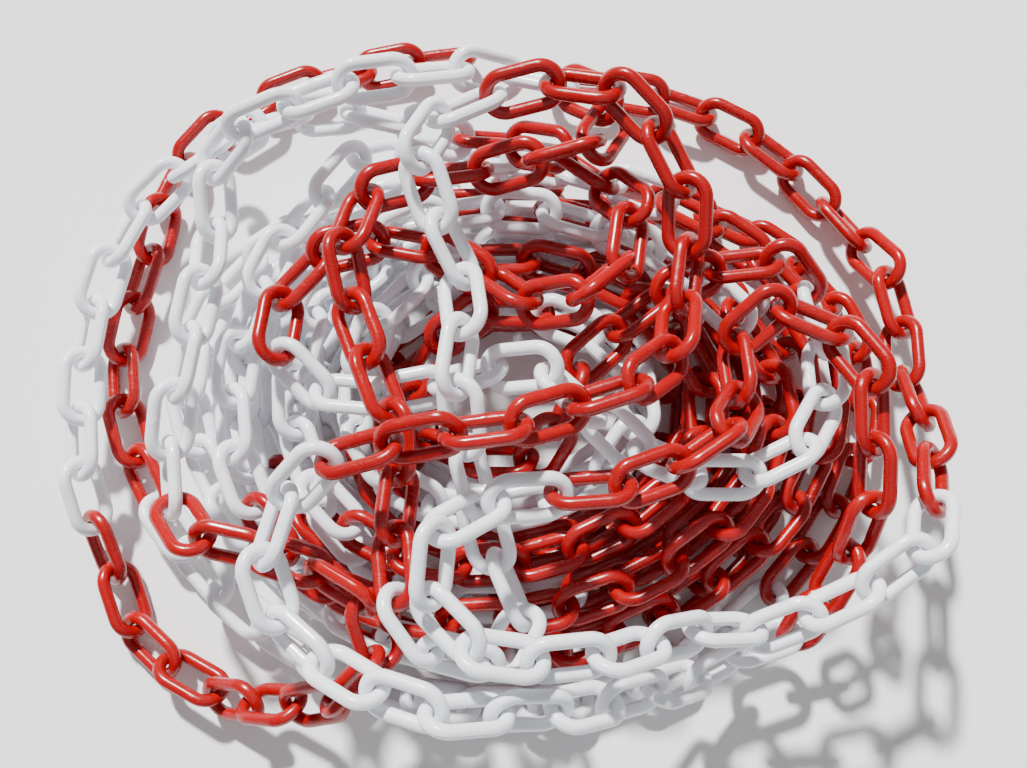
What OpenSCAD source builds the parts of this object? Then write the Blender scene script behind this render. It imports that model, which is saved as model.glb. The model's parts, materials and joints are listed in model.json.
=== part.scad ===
// Plastic barrier chain, red and white, dropped in a heap with its two ends free.
// The chain follows one route from its left end to its right end. A strand that meets an
// earlier one lies on top of it, and the links are then hooked one by one along that path.

/* [Link] */
// Diameter of the round section that every link is moulded with
wire_d = 8; // [7.5:0.1:8]
// Outside length of a link
link_length = 51; // [51:0.1:51.2]
// Outside width of a link
link_width = 30.4; // [30.4:0.1:30.6]
// Free play where two links meet
play = 0.6; // [0.6:0.1:0.8]

/* [Chain] */
// Links moulded in one colour before it changes
run_links = 13; // [12:1:13]
// Colour runs in the whole chain, an odd number so that both ends are red
runs = 33; // [33:2:33]
// Loose links at the left free end
left_loose = 5; // [1:1:6]
// Loose links at the right free end
right_loose = 5; // [1:1:9]

/* [Heap] */
// Height between a strand and the strand that it lies on
strand_pitch = 27; // [27:0.1:27.2]
// Steepest slope at which a strand climbs or falls
slope = 0.8; // [0.8:0.01:0.82]
// Length over which a strand bends down from the top of another
hump = 30; // [30:0.1:31]

/* [Hidden] */
wire_r = wire_d / 2;
crown_r = (link_width - wire_d) / 2;
straight = link_length - link_width;
// Distance between the crown centres of two hooked links
hook = 2 * crown_r - wire_d - play;
link_count = run_links * runs;

// Height of a strand's axis over the floor, and the step between two points of the plan
floor_z = 12;
plan_step = 12;
// A strand doesn't rest on the stretch of chain right before it, and a hump ends within this reach
self_gap = 60;
hump_reach = 250;
// Times that the heights are settled, and the step between two points of the settled path
settlings = 7;
path_step = 6;
// Points of the plan that are searched together for strands below
block = 10;

// Hooking: how far ahead a link aims, how far it may bend, lean and twist, in steps and degrees
aim = 6;
bend_max = 60;
lean = 45;
lean_play = 8;
twist_max = 12;
full_lean = 0.15;
run_out = 20;

// Colours of the two plastics
red = [0.80, 0.05, 0.06];
white = [0.94, 0.95, 0.97];

// The three elliptic coils at the bottom of the heap
heap_centre = [4, -15];
coil_step = 24;
lobe = 0.05;
lobes = 3;
coil_1 = spiral([256, 190], 1, 0.27, 0.165, 165, 0);
coil_2 = spiral([210, 172], 0.38, 1, 0.18, end_angle(1, 0.27, 0.165, 165), 60);
coil_3 = spiral([182, 148], 1, 0.25, 0.215, end_angle(0.38, 1, 0.18, end_angle(1, 0.27, 0.165, 165)), 110);

// The route in plan, [x, y] or [x, y, lift], where a lift holds the strand up by that much more
left_end = [
  [-28, 232], [-60, 228], [-98, 221], [-132, 211], [-165, 198], [-195, 180], [-218, 152], [-230, 118], [-232, 75]
];
middle = [
  [45, -5], [85, 35], [130, 65], [172, 60], [198, 25], [195, -22], [165, -60], [120, -75], [78, -58],
  [45, -25], [5, -5], [-40, -12], [-85, -28], [-125, -12], [-140, 30], [-112, 68], [-68, 80], [-25, 65],
  [8, 32], [42, 22], [75, 45], [72, 90], [48, 125]
];
// White, across the back and down the left edge
left_edge = [
  [5, 148], [-40, 150], [-90, 152], [-140, 160], [-185, 155, 4], [-222, 130, 4], [-245, 95], [-258, 55],
  [-262, 15], [-262, -25], [-256, -65]
];
// Red, round the near left corner
left_corner = [
  [-250, -105], [-235, -145], [-205, -176], [-160, -192], [-110, -198], [-68, -182], [-66, -142],
  [-100, -115], [-145, -108], [-185, -98]
];
// White, up the left side and across the back
left_side = [
  [-202, -65], [-192, -20], [-178, 25], [-176, 70], [-178, 115], [-145, 145], [-100, 158], [-55, 168],
  [-10, 174], [35, 176]
];
// Red, back to the left and down
left_middle = [
  [72, 155], [60, 120], [15, 106], [-32, 114], [-72, 110], [-92, 75], [-86, 30], [-72, -8], [-58, -40],
  [-58, -85], [-58, -130]
];
// White, straight up the middle
centre_line = [
  [-45, -168], [-8, -178], [14, -142], [-2, -105], [-22, -70], [-19, -25], [-24, 15], [-26, 55],
  [-45, 90], [-50, 125], [-15, 150]
];
// Red, down the right of the middle and off to the left
cross_line = [
  [30, 152], [72, 142], [98, 112], [104, 65], [104, 20], [95, -15], [58, -30], [15, -48], [-32, -56], [-75, -58]
];
// White, along the near edge
near_edge = [
  [-112, -72], [-132, -105, 6], [-125, -150, 6], [-88, -178], [-45, -190], [0, -195], [45, -192],
  [90, -184], [130, -172], [160, -158]
];
// Red, a loop on the right side
right_side = [
  [190, -132], [205, -95], [208, -50], [205, -5], [180, 32], [142, 24], [130, -18], [118, -58], [80, -78], [40, -78]
];
// White, a hook at the near middle and off to the right
near_line = [
  [0, -80], [-38, -98], [-45, -138], [-18, -166], [28, -168], [72, -160], [115, -152], [155, -146],
  [195, -138], [230, -112], [245, -72]
];
// Red, up the right edge to the free end
right_end = [
  [250, -35], [252, 5], [248, 45], [238, 85], [220, 120], [192, 152], [160, 180], [122, 198], [85, 208],
  [50, 212], [17, 213]
];
route = [
  for (leg = [
    left_end, coil_1, coil_2, coil_3, middle, left_edge, left_corner, left_side, left_middle, centre_line,
    cross_line, near_edge, right_side, near_line, right_end
  ])
    for (p = leg) [p.x, p.y, len(p) > 2 ? p.z : 0]
];

// An elliptic coil of half-axes size, from radius share r0 to r1, losing or gaining gap each turn
function coil_points(r0, r1, gap) = floor(abs(r1 - r0) / gap * 360 / coil_step);
function spiral(size, r0, r1, gap, start, phase) =
  let (n = coil_points(r0, r1, gap))
  [
    for (i = [0 : n])
      let (
        a = start + i * coil_step,
        r = (r0 + (r1 - r0) * i / n) * (1 + lobe * sin(lobes * a + phase))
      )
      heap_centre + [size.x * r * cos(a), size.y * r * sin(a)]
  ];
// The angle at which the coil after this one starts
function end_angle(r0, r1, gap, start) = start + (coil_points(r0, r1, gap) + 1) * coil_step;

// A smooth curve through the middle of four route points
function curve(a, b, c, d, t) =
  (pow(1 - t, 3) * a + (3 * pow(t, 3) - 6 * t * t + 4) * b + (-3 * pow(t, 3) + 3 * t * t + 3 * t + 1) * c
    + pow(t, 3) * d) / 6;
function flat(p) = [p.x, p.y];
last = len(route) - 1;
plan = [
  for (i = [0 : last - 1])
    let (steps = ceil(norm(flat(route[i + 1] - route[i])) / plan_step))
    for (k = [0 : steps - 1])
      curve(route[max(i - 1, 0)], route[i], route[i + 1], route[min(i + 2, last)], k / steps),
  route[last]
];

// Length along a list of points, up to each of them
function lengths(points) = [
  for (
    i = 0, s = 0;
    i < len(points);
    s = i + 1 < len(points) ? s + norm(points[i + 1] - points[i]) : s, i = i + 1
  )
    s
];
plan_xy = [for (p = plan) flat(p)];
plan_s = lengths(plan_xy);
plan_last = len(plan) - 1;

// For each point of the plan, the earlier points that it lies on
block_reach = strand_pitch + block * plan_step;
below = [
  for (i = [0 : plan_last]) [
    for (b = [0 : floor(i / block)])
      if (norm(plan_xy[i] - plan_xy[min(b * block + block / 2, plan_last)]) < block_reach)
        for (j = [b * block : 1 : min(b * block + block, i) - 1])
          if (norm(plan_xy[i] - plan_xy[j]) < strand_pitch && plan_s[i] - plan_s[j] > self_gap) j
  ]
];
// For each point, the points near it along the chain, each with the drop that the slope allows
around_points = ceil(2 * hump_reach / plan_step);
around = [
  for (i = [0 : plan_last]) [
    for (j = [max(0, i - around_points) : 1 : min(plan_last, i + around_points)])
      let (s = abs(plan_s[i] - plan_s[j]))
      if (s < hump_reach) [j, slope * (sqrt(s * s + hump * hump) - hump)]
  ]
];
function resting(z) = [
  for (i = [0 : plan_last])
    (len(below[i]) == 0 ? floor_z : max([for (j = below[i]) z[j]]) + strand_pitch) + plan[i].z
];
function eased(h) = [
  for (near = around) max(floor_z, max([for (n = near) h[n[0]] - n[1]]))
];
function settled(z, times) = times == 0 ? z : settled(eased(resting(z)), times - 1);
heights = settled([for (p = plan) floor_z], settlings);

// The settled path, cut at even steps, with a straight run-out past its end
rough = [for (i = [0 : plan_last]) [plan[i].x, plan[i].y, heights[i]]];
rough_s = lengths(rough);
path = [
  for (i = [0 : plan_last - 1])
    for (m = [ceil(rough_s[i] / path_step) : 1 : ceil(rough_s[i + 1] / path_step) - 1])
      rough[i] + (rough[i + 1] - rough[i]) * (m * path_step - rough_s[i]) / (rough_s[i + 1] - rough_s[i])
];
path_end = path[len(path) - 1];
path_end_dir = unit(path_end - path[len(path) - 3]);
track = concat(path, [for (i = [1 : run_out]) path_end + path_end_dir * path_step * i]);

function unit(v) = v / norm(v);
function between(x, limit) = max(-limit, min(limit, x));
// An angle between planes, from -90 to 90 degrees
function half_turn(a) = a - 180 * floor((a + 90) / 180);
function level(w) = unit(cross([0, 0, 1], w));
// The plane through w that leans from the level by an angle, as its normal, and the lean of such a plane
function lean_normal(w, a) = unit(cross(w, cos(a) * level(w) + sin(a) * cross(w, level(w))));
function lean_of(w, n) = atan2(cross(n, w) * cross(w, level(w)), cross(n, w) * level(w));
// The direction of d within the plane of normal n, turned from w by no more than bend_max
function bent(d, w, n) =
  let (
    e = unit(d - (d * n) * n),
    a = between(atan2(e * cross(n, w), e * w), bend_max)
  )
  unit(cos(a) * w + sin(a) * cross(n, w));
function closest(first, reach, p) =
  let (d = [for (k = [first : first + reach]) norm(track[k] - p)])
  first + search(min(d), d)[0];

// One link: where its first crown centre is, its place on the track, the way in, and the plane before
// Result: [centre, length way, width way, normal, next crown centre, next place, next way in]
function link_at(i, q, k, w, before) =
  let (
    d = unit(track[k + aim] - q),
    rise = d * cross(w, level(w)),
    side = d * level(w),
    turn = norm([rise, side]),
    even_lean = i % 2 == 0 ? lean : -lean,
    free = between(half_turn(atan2(rise, side) - even_lean), lean_play) * min(1, turn / full_lean),
    wanted = even_lean + free,
    square = is_undef(before) ? wanted : lean_of(w, before) + 90,
    n = lean_normal(w, square + between(half_turn(wanted - square), twist_max)),
    u = bent(track[k + aim] - q, w, n),
    c = q + straight * u,
    kc = closest(k + 2, 3, c),
    w2 = bent(track[kc + aim] - c, u, n),
    q2 = c + hook * w2
  )
  [(q + c) / 2, u, cross(n, u), n, q2, closest(kc + 1, 3, q2), w2];
chain = [
  for (
    i = 0, t = link_at(0, track[0], 0, unit(track[2] - track[0]));
    i < link_count;
    i = i + 1, t = i < link_count ? link_at(i, t[4], t[5], t[6], t[3]) : t
  )
    t
];

// Half the size of a link along direction e, which sets the box of the whole heap
function half_size(t, e) =
  straight / 2 * abs(t[1] * e) + crown_r * norm([t[1] * e, t[2] * e]) + wire_r;
function low(e) = min([for (t = chain) t[0] * e - half_size(t, e)]);
function high(e) = max([for (t = chain) t[0] * e + half_size(t, e)]);
axis_x = [1, 0, 0];
axis_y = [0, 1, 0];
axis_z = [0, 0, 1];
// The origin is the middle of the heap's box, on the floor
home = [-(low(axis_x) + high(axis_x)) / 2, -(low(axis_y) + high(axis_y)) / 2, -low(axis_z)];

function two_digits(n) = n < 10 ? str("0", n) : str(n);
function is_red(run) = run % 2 == 0;
function run_name(run) = str(is_red(run) ? "red_run_" : "white_run_", two_digits(run + 1));
function left_name(i) = str("left_loose_link_", i + 1);
function right_name(i) = str("right_loose_link_", i + 1);

// Half of a link's round end
module crown() {
  rotate([0, 0, -90])
    rotate_extrude(angle = 180, $fn = 48)
      translate([crown_r, 0])
        circle(r = wire_r, $fn = 32);
}

// One side of a link, between its two crowns
module bar() {
  translate([-straight / 2, crown_r, 0])
    rotate([0, 90, 0])
      cylinder(r = wire_r, h = straight, $fn = 32);
}

module link() {
  for (turn = [0, 180])
    rotate([0, 0, turn]) {
      translate([straight / 2, 0, 0])
        crown();
      bar();
    }
}

// Link i where it lies in the heap
module placed_link(i) {
  t = chain[i];
  p = t[0] + home;
  color(is_red(floor(i / run_links)) ? red : white)
    multmatrix([
      [t[1].x, t[2].x, t[3].x, p.x],
      [t[1].y, t[2].y, t[3].y, p.y],
      [t[1].z, t[2].z, t[3].z, p.z],
      [0, 0, 0, 1]
    ])
      link();
}

// The links of one colour run, without the loose ones at the chain's ends
module run_of_links(run) {
  first = max(run * run_links, left_loose);
  end = min((run + 1) * run_links, link_count - right_loose);
  for (i = [first : end - 1])
    placed_link(i);
}

for (i = [0 : left_loose - 1])
  placed_link(i);
for (run = [0 : runs - 1])
  run_of_links(run);
for (i = [0 : right_loose - 1])
  placed_link(link_count - 1 - i);
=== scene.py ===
"""Red and white plastic barrier chain in a heap, with its floor, lights and camera."""

import json
import math

import bpy
import numpy as np
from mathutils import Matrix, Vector


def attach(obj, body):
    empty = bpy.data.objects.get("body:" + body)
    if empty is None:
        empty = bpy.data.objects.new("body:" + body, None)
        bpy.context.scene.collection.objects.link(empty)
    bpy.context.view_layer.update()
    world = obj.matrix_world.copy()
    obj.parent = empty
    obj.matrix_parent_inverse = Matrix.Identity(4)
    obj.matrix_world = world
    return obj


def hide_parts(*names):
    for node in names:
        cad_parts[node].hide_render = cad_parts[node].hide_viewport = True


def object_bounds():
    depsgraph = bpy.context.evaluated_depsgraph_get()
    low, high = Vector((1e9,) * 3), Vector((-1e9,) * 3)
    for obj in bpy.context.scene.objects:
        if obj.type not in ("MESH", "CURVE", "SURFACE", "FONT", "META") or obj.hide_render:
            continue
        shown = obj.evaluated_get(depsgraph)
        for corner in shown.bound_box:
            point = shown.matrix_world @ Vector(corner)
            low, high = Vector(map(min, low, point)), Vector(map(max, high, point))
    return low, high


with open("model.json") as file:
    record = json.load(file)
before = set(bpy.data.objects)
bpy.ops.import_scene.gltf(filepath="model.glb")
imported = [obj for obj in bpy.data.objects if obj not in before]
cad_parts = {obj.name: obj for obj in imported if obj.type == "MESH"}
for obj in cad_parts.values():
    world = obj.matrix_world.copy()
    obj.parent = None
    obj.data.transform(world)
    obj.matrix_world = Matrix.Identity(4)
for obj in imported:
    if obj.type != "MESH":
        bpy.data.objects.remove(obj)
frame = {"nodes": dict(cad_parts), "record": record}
cad_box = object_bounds()

MM = 0.001

# The link, as the frame's solids have it, but the wire is thinner by the ridge that stands on it
WIRE_R = 3.9 * MM
CROWN_R = 11.2 * MM
STRAIGHT = 20.6 * MM

# The mould's marks: a parting ridge round the link, and the gate's nub on one side of one bar
RIDGE = 0.1 * MM
NUB_HEIGHT = 0.3 * MM
NUB_REACH = 1.9 * MM

# The template's mesh: angles of the section's points in degrees, closer together at the parting
# line, steps round each half circle, and places of the rings along each bar in mm
QUARTER = (6, 24, 45, 66, 90)
CROWN_STEPS = 18
BAR_STOPS = (-8.0, -5.0, -2.4, -1.6, -0.8, 0.0, 0.8, 1.6, 2.4, 5.0, 8.0)

# Vertices of a CAD node closer than this are one vertex
WELD = 0.002 * MM

# Plastics: a link's shade lies between light and deep, a rubbed place is nearer to scuff, and glow
# is the share of light that passes under the skin
RED = {
    "light": (0.42, 0.0001, 0.002, 1),
    "deep": (0.31, 0.0001, 0.0015, 1),
    "scuff": (0.50, 0.03, 0.03, 1),
    "glow": 0.02,
}
WHITE = {
    "light": (0.93, 0.95, 0.99, 1),
    "deep": (0.87, 0.90, 0.96, 1),
    "scuff": (0.74, 0.74, 0.75, 1),
    "glow": 0.08,
}
DUST = (0.22, 0.18, 0.15, 1.0)
GLOW_DEPTH = 2.5 * MM
PLASTIC_IOR = 1.50

# Floor: half its width in metres, its two tones and its roughness
FLOOR_HALF = 3.0
FLOOR_TONES = ((0.93, 0.93, 0.93, 1), (0.96, 0.96, 0.96, 1))
FLOOR_ROUGHNESS = 0.85

# Lights: the places, from the heap's centre, and the fill's size are in diagonals of the CAD's box
SUN_PLACE = Vector((-0.35, 0.95, 1.15))
SUN_ENERGY = 8.0
SUN_ANGLE = math.radians(4)
SUN_COLOUR = (1.0, 0.985, 0.96)
FILL_PLACE = Vector((0.4, -1.2, 2.4))
FILL_ENERGY = 5.0
FILL_SIZE = 3
FILL_COLOUR = (0.93, 0.96, 1.0)
SURROUND_COLOUR = (0.94, 0.97, 1.0, 1)
SURROUND_LIGHT = 0.30
SURROUND_SEEN = 0.90

# Camera: the target is from the middle of the heap's floor, and the tilt is from straight down
CAMERA_TARGET = Vector((0.012, -0.017, 0.034))
CAMERA_DISTANCE = 0.76
CAMERA_TILT = math.radians(12)
CAMERA_ANGLE = math.radians(46)
SENSOR_WIDTH = 36


# ---- The link's mesh -----------------------------------------------------------------------

def section_angles():
    """Angles round the section: the outer parting line is at 0, the inner one at 180 degrees."""
    half = [0] + list(QUARTER) + [180 - a for a in reversed(QUARTER[:-1])]
    return [math.radians(a) for a in half + [a + 180 for a in half]]


def centre_line():
    """Rings round the link: (centre, outward direction, place along the gate's bar or None)."""
    rings = []
    for side in (1, -1):
        for stop in BAR_STOPS:
            x = -side * stop * MM
            rings.append(((x, side * CROWN_R), (0.0, side), x if side > 0 else None))
        for k in range(CROWN_STEPS + 1):
            a = side * math.pi / 2 + math.pi * k / CROWN_STEPS
            out = (math.cos(a), math.sin(a))
            end = (-side * STRAIGHT / 2, 0.0)
            rings.append(((end[0] + CROWN_R * out[0], CROWN_R * out[1]), out, None))
    return rings


def surface_rise(angle, along):
    """How far the mould's marks stand proud of the round section."""
    rise = RIDGE if abs(math.sin(angle)) < 1e-6 else 0.0
    if along is not None:
        away = math.hypot(along, WIRE_R * (angle - math.pi / 2)) / NUB_REACH
        if away < 1:
            rise += NUB_HEIGHT * (1 - away * away) ** 0.5
    return rise


def link_template():
    """Vertices of one link in its own axes, and its faces."""
    angles = section_angles()
    rings = centre_line()
    points = []
    for (x, y), (ox, oy), along in rings:
        for a in angles:
            r = WIRE_R + surface_rise(a, along)
            out = r * math.cos(a)
            points.append((x + out * ox, y + out * oy, r * math.sin(a)))
    n = len(angles)
    faces = []
    for i in range(len(rings)):
        j = (i + 1) % len(rings)
        for k in range(n):
            m = (k + 1) % n
            faces.append((i * n + k, j * n + k, j * n + m, i * n + m))
    return np.array(points), np.array(faces)


TEMPLATE, FACES = link_template()


# ---- Where each link of a CAD node lies ----------------------------------------------------

def islands(obj):
    """The triangles of each separate solid of a CAD node, as arrays of corner points."""
    mesh = obj.data
    mesh.calc_loop_triangles()
    points = np.array([v.co for v in mesh.vertices])
    corners = np.array([t.vertices for t in mesh.loop_triangles])
    cells = np.round(points / WELD).astype(np.int64)
    _, same = np.unique(cells, axis=0, return_inverse=True)
    same = same.reshape(-1)
    group = np.arange(same.max() + 1)
    joined = same[corners]
    while True:
        lowest = group[joined].min(axis=1)
        before = group.copy()
        for c in range(3):
            np.minimum.at(group, joined[:, c], lowest)
        group = group[group]
        if np.array_equal(group, before):
            break
    owner = group[joined[:, 0]]
    return [points[corners[owner == g]] for g in np.unique(owner)]


def link_axes(triangles):
    """Centre, length way, width way and normal of the link that these triangles close.

    The volume's second moments give them: a link is longest along its length way and thinnest
    along its normal.
    """
    a, b, c = triangles[:, 0], triangles[:, 1], triangles[:, 2]
    origin = triangles.reshape(-1, 3).mean(axis=0)
    a, b, c = a - origin, b - origin, c - origin
    volume = np.einsum("ij,ij->i", a, np.cross(b, c))
    total = volume.sum()
    centre = ((a + b + c) * volume[:, None]).sum(axis=0) / (4 * total)
    s = a + b + c
    second = sum(np.einsum("i,ij,ik->jk", volume, p, p) for p in (a, b, c, s)) / (20 * total)
    second -= np.outer(centre, centre)
    _, ways = np.linalg.eigh(second)
    length_way, normal = ways[:, 2], ways[:, 0]
    if normal[2] < 0:
        normal = -normal
    if length_way[0] < 0:
        length_way = -length_way
    return origin + centre, length_way, np.cross(normal, length_way), normal


def detailed_links(node, obj, material):
    """One mesh with a detailed link in the place of each solid of the CAD node.

    Every other link is turned over, so that the nubs don't all face the same way.
    """
    points, faces = [], []
    for i, solid in enumerate(islands(obj)):
        centre, u, v, n = link_axes(solid)
        if i % 2:
            v, n = -v, -n
        points.append(centre + TEMPLATE @ np.array([u, v, n]))
        faces.append(FACES + i * len(TEMPLATE))
    points, faces = np.concatenate(points), np.concatenate(faces)
    mesh = bpy.data.meshes.new(node + "_detail")
    mesh.from_pydata(points.tolist(), [], faces.tolist())
    mesh.shade_smooth()
    mesh.materials.append(material)
    piece = bpy.data.objects.new(node + "_detail", mesh)
    bpy.context.scene.collection.objects.link(piece)
    return piece


# ---- Plastics ------------------------------------------------------------------------------

class Nodes:
    """Short ways to add and join shader nodes."""

    def __init__(self, name):
        self.material = bpy.data.materials.new(name)
        self.material.use_nodes = True
        self.tree = self.material.node_tree
        self.shader = self.tree.nodes["Principled BSDF"]
        self.place = self.tree.nodes.new("ShaderNodeTexCoord").outputs["Object"]
        geometry = self.tree.nodes.new("ShaderNodeNewGeometry")
        self.island = geometry.outputs["Random Per Island"]

    def join(self, source, target):
        """Gives the input socket a value, or links another node's output to it."""
        if isinstance(source, (int, float, tuple)):
            target.default_value = source
        else:
            self.tree.links.new(source, target)

    def noise(self, size, detail=3.0, roughness=0.55, distortion=0.0):
        """Noise whose patches are about size metres across."""
        n = self.tree.nodes.new("ShaderNodeTexNoise")
        self.join(self.place, n.inputs["Vector"])
        self.join(1 / size, n.inputs["Scale"])
        self.join(detail, n.inputs["Detail"])
        self.join(roughness, n.inputs["Roughness"])
        self.join(distortion, n.inputs["Distortion"])
        return n.outputs["Fac"]

    def scratches(self, size):
        """Fine curved lines, one where a stretched noise crosses its middle value."""
        stretch = self.tree.nodes.new("ShaderNodeMapping")
        self.join(self.place, stretch.inputs["Vector"])
        self.join((0.25, 1.0, 0.4), stretch.inputs["Scale"])
        n = self.tree.nodes.new("ShaderNodeTexNoise")
        self.join(stretch.outputs["Vector"], n.inputs["Vector"])
        self.join(1 / size, n.inputs["Scale"])
        self.join(2.0, n.inputs["Detail"])
        self.join(1.2, n.inputs["Distortion"])
        off = self.math("ABSOLUTE", self.math("SUBTRACT", n.outputs["Fac"], 0.5))
        return self.ramp(off, (0.0, 1.0), (0.012, 0.0))

    def math(self, kind, a, b=0.0):
        n = self.tree.nodes.new("ShaderNodeMath")
        n.operation = kind
        self.join(a, n.inputs[0])
        self.join(b, n.inputs[1])
        return n.outputs["Value"]

    def ramp(self, value, start, end):
        """Maps value to a number: start and end are (value, result), held outside them."""
        n = self.tree.nodes.new("ShaderNodeMapRange")
        n.clamp = True
        self.join(value, n.inputs["Value"])
        self.join(start[0], n.inputs["From Min"])
        self.join(end[0], n.inputs["From Max"])
        self.join(start[1], n.inputs["To Min"])
        self.join(end[1], n.inputs["To Max"])
        return n.outputs["Result"]

    def mix(self, factor, a, b):
        """Mixes two colours: the mix node's inputs 6 and 7 and output 2 are its colours."""
        n = self.tree.nodes.new("ShaderNodeMix")
        n.data_type = "RGBA"
        self.join(factor, n.inputs["Factor"])
        self.join(a, n.inputs[6])
        self.join(b, n.inputs[7])
        return n.outputs[2]

    def bump(self, height, distance, onto=None):
        n = self.tree.nodes.new("ShaderNodeBump")
        self.join(height, n.inputs["Height"])
        self.join(distance, n.inputs["Distance"])
        self.join(1.0, n.inputs["Strength"])
        if onto is not None:
            self.join(onto, n.inputs["Normal"])
        return n.outputs["Normal"]

    def set(self, **inputs):
        """Joins to the shader's inputs, named with underscores for spaces."""
        for name, source in inputs.items():
            self.join(source, self.shader.inputs[name.replace("_", " ")])


def moulded_plastic(name, light, deep, scuff, glow):
    """Glossy moulded plastic: a shade for each link, flow marks, dust and light scuffs."""
    n = Nodes(name)
    flow = n.noise(14 * MM, detail=2.0, distortion=0.8)
    shade = n.math("MULTIPLY_ADD", n.island, 0.45)
    n.join(n.math("MULTIPLY", flow, 0.75), shade.node.inputs[2])
    body = n.mix(n.ramp(shade, (0.1, 0.0), (1.05, 1.0)), light, deep)
    specks = n.ramp(n.noise(0.9 * MM, detail=1.0), (0.73, 0.0), (0.80, 1.0))
    rubbed = n.noise(5 * MM, detail=6.0, roughness=0.7)
    rubbed = n.ramp(rubbed, (0.60, 0.0), (0.74, 1.0))
    lines = n.scratches(6 * MM)
    worn = n.math("MAXIMUM", n.math("MULTIPLY", rubbed, 0.07), n.math("MULTIPLY", lines, 0.08))
    colour = n.mix(worn, body, scuff)
    colour = n.mix(n.math("MULTIPLY", specks, 0.06), colour, DUST)
    rough = n.noise(3 * MM, detail=5.0, roughness=0.65)
    rough = n.ramp(rough, (0.3, 0.15), (0.75, 0.25))
    rough = n.math("ADD", rough, n.math("MULTIPLY", worn, 1.4))
    rough = n.math("ADD", rough, n.math("MULTIPLY", n.island, 0.05))
    ripple = n.bump(n.noise(8 * MM, detail=1.0), 0.10 * MM)
    skin = n.bump(n.noise(0.7 * MM, detail=2.0), 0.012 * MM, onto=ripple)
    nicks = n.bump(n.math("ADD", lines, rubbed), -0.02 * MM, onto=skin)
    n.set(Base_Color=colour, Roughness=rough, Normal=nicks, IOR=PLASTIC_IOR)
    n.set(Subsurface_Weight=glow, Subsurface_Scale=GLOW_DEPTH)
    n.shader.inputs["Subsurface Radius"].default_value = light[:3]
    return n.material


# ---- The chain -----------------------------------------------------------------------------

def dress_chain():
    """Puts a detailed piece in the place of each CAD node, riding the node's own body."""
    plastics = {
        "red_plastic": moulded_plastic("red_moulded", **RED),
        "white_plastic": moulded_plastic("white_moulded", **WHITE),
    }
    slots = {part["node"]: part["material_slot"] for part in frame["record"]["subparts"]}
    for body, nodes in frame["record"]["behaviour"]["bodies"].items():
        for node in nodes:
            piece = detailed_links(node, frame["nodes"][node], plastics[slots[node]])
            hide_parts(node)
            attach(piece, body)


# ---- Floor, light and camera ---------------------------------------------------------------

def floor():
    """A plain pale ground, far wider than the picture."""
    h = FLOOR_HALF
    mesh = bpy.data.meshes.new("floor")
    mesh.from_pydata([(-h, -h, 0), (h, -h, 0), (h, h, 0), (-h, h, 0)], [], [(0, 1, 2, 3)])
    n = Nodes("floor_paint")
    tone = n.mix(n.noise(0.35, detail=4.0), *FLOOR_TONES)
    grain = n.bump(n.noise(2 * MM), 0.05 * MM)
    n.set(Base_Color=tone, Roughness=FLOOR_ROUGHNESS, Normal=grain)
    mesh.materials.append(n.material)
    obj = bpy.data.objects.new("floor", mesh)
    bpy.context.scene.collection.objects.link(obj)


def aim(obj, place, target):
    """Adds a light or camera at a place, looking at the target."""
    obj.location = place
    obj.rotation_euler = (target - place).to_track_quat("-Z", "Y").to_euler()
    bpy.context.scene.collection.objects.link(obj)


def lights(centre, reach):
    """A high sun from beyond the far edge and a broad soft fill over the near edge."""
    sun = bpy.data.lights.new("sun", "SUN")
    sun.energy = SUN_ENERGY
    sun.angle = SUN_ANGLE
    sun.color = SUN_COLOUR
    aim(bpy.data.objects.new("sun", sun), centre + SUN_PLACE * reach, centre)
    fill = bpy.data.lights.new("fill", "AREA")
    fill.energy = FILL_ENERGY
    fill.size = FILL_SIZE * reach
    fill.color = FILL_COLOUR
    aim(bpy.data.objects.new("fill", fill), centre + FILL_PLACE * reach, centre)


def surround():
    """A pale surround, brighter to the camera than the light that it gives."""
    world = bpy.data.worlds.new("surround")
    world.use_nodes = True
    nodes, links = world.node_tree.nodes, world.node_tree.links
    background = nodes["Background"]
    background.inputs["Color"].default_value = SURROUND_COLOUR
    seen = nodes.new("ShaderNodeLightPath").outputs["Is Camera Ray"]
    strength = nodes.new("ShaderNodeMapRange")
    strength.inputs["To Min"].default_value = SURROUND_LIGHT
    strength.inputs["To Max"].default_value = SURROUND_SEEN
    links.new(seen, strength.inputs["Value"])
    links.new(strength.outputs["Result"], background.inputs["Strength"])
    bpy.context.scene.world = world


def camera(ground):
    """High over the near edge, close enough for strong perspective."""
    data = bpy.data.cameras.new("camera")
    data.sensor_width = SENSOR_WIDTH
    data.angle = CAMERA_ANGLE
    target = ground + CAMERA_TARGET
    back = Vector((0, -math.sin(CAMERA_TILT), math.cos(CAMERA_TILT))) * CAMERA_DISTANCE
    cam = bpy.data.objects.new("camera", data)
    aim(cam, target + back, target)
    bpy.context.scene.camera = cam


dress_chain()
low, high = (Vector(corner) for corner in cad_box)
middle = (low + high) / 2
floor()
lights(middle, (high - low).length)
surround()
camera(Vector((middle.x, middle.y, low.z)))
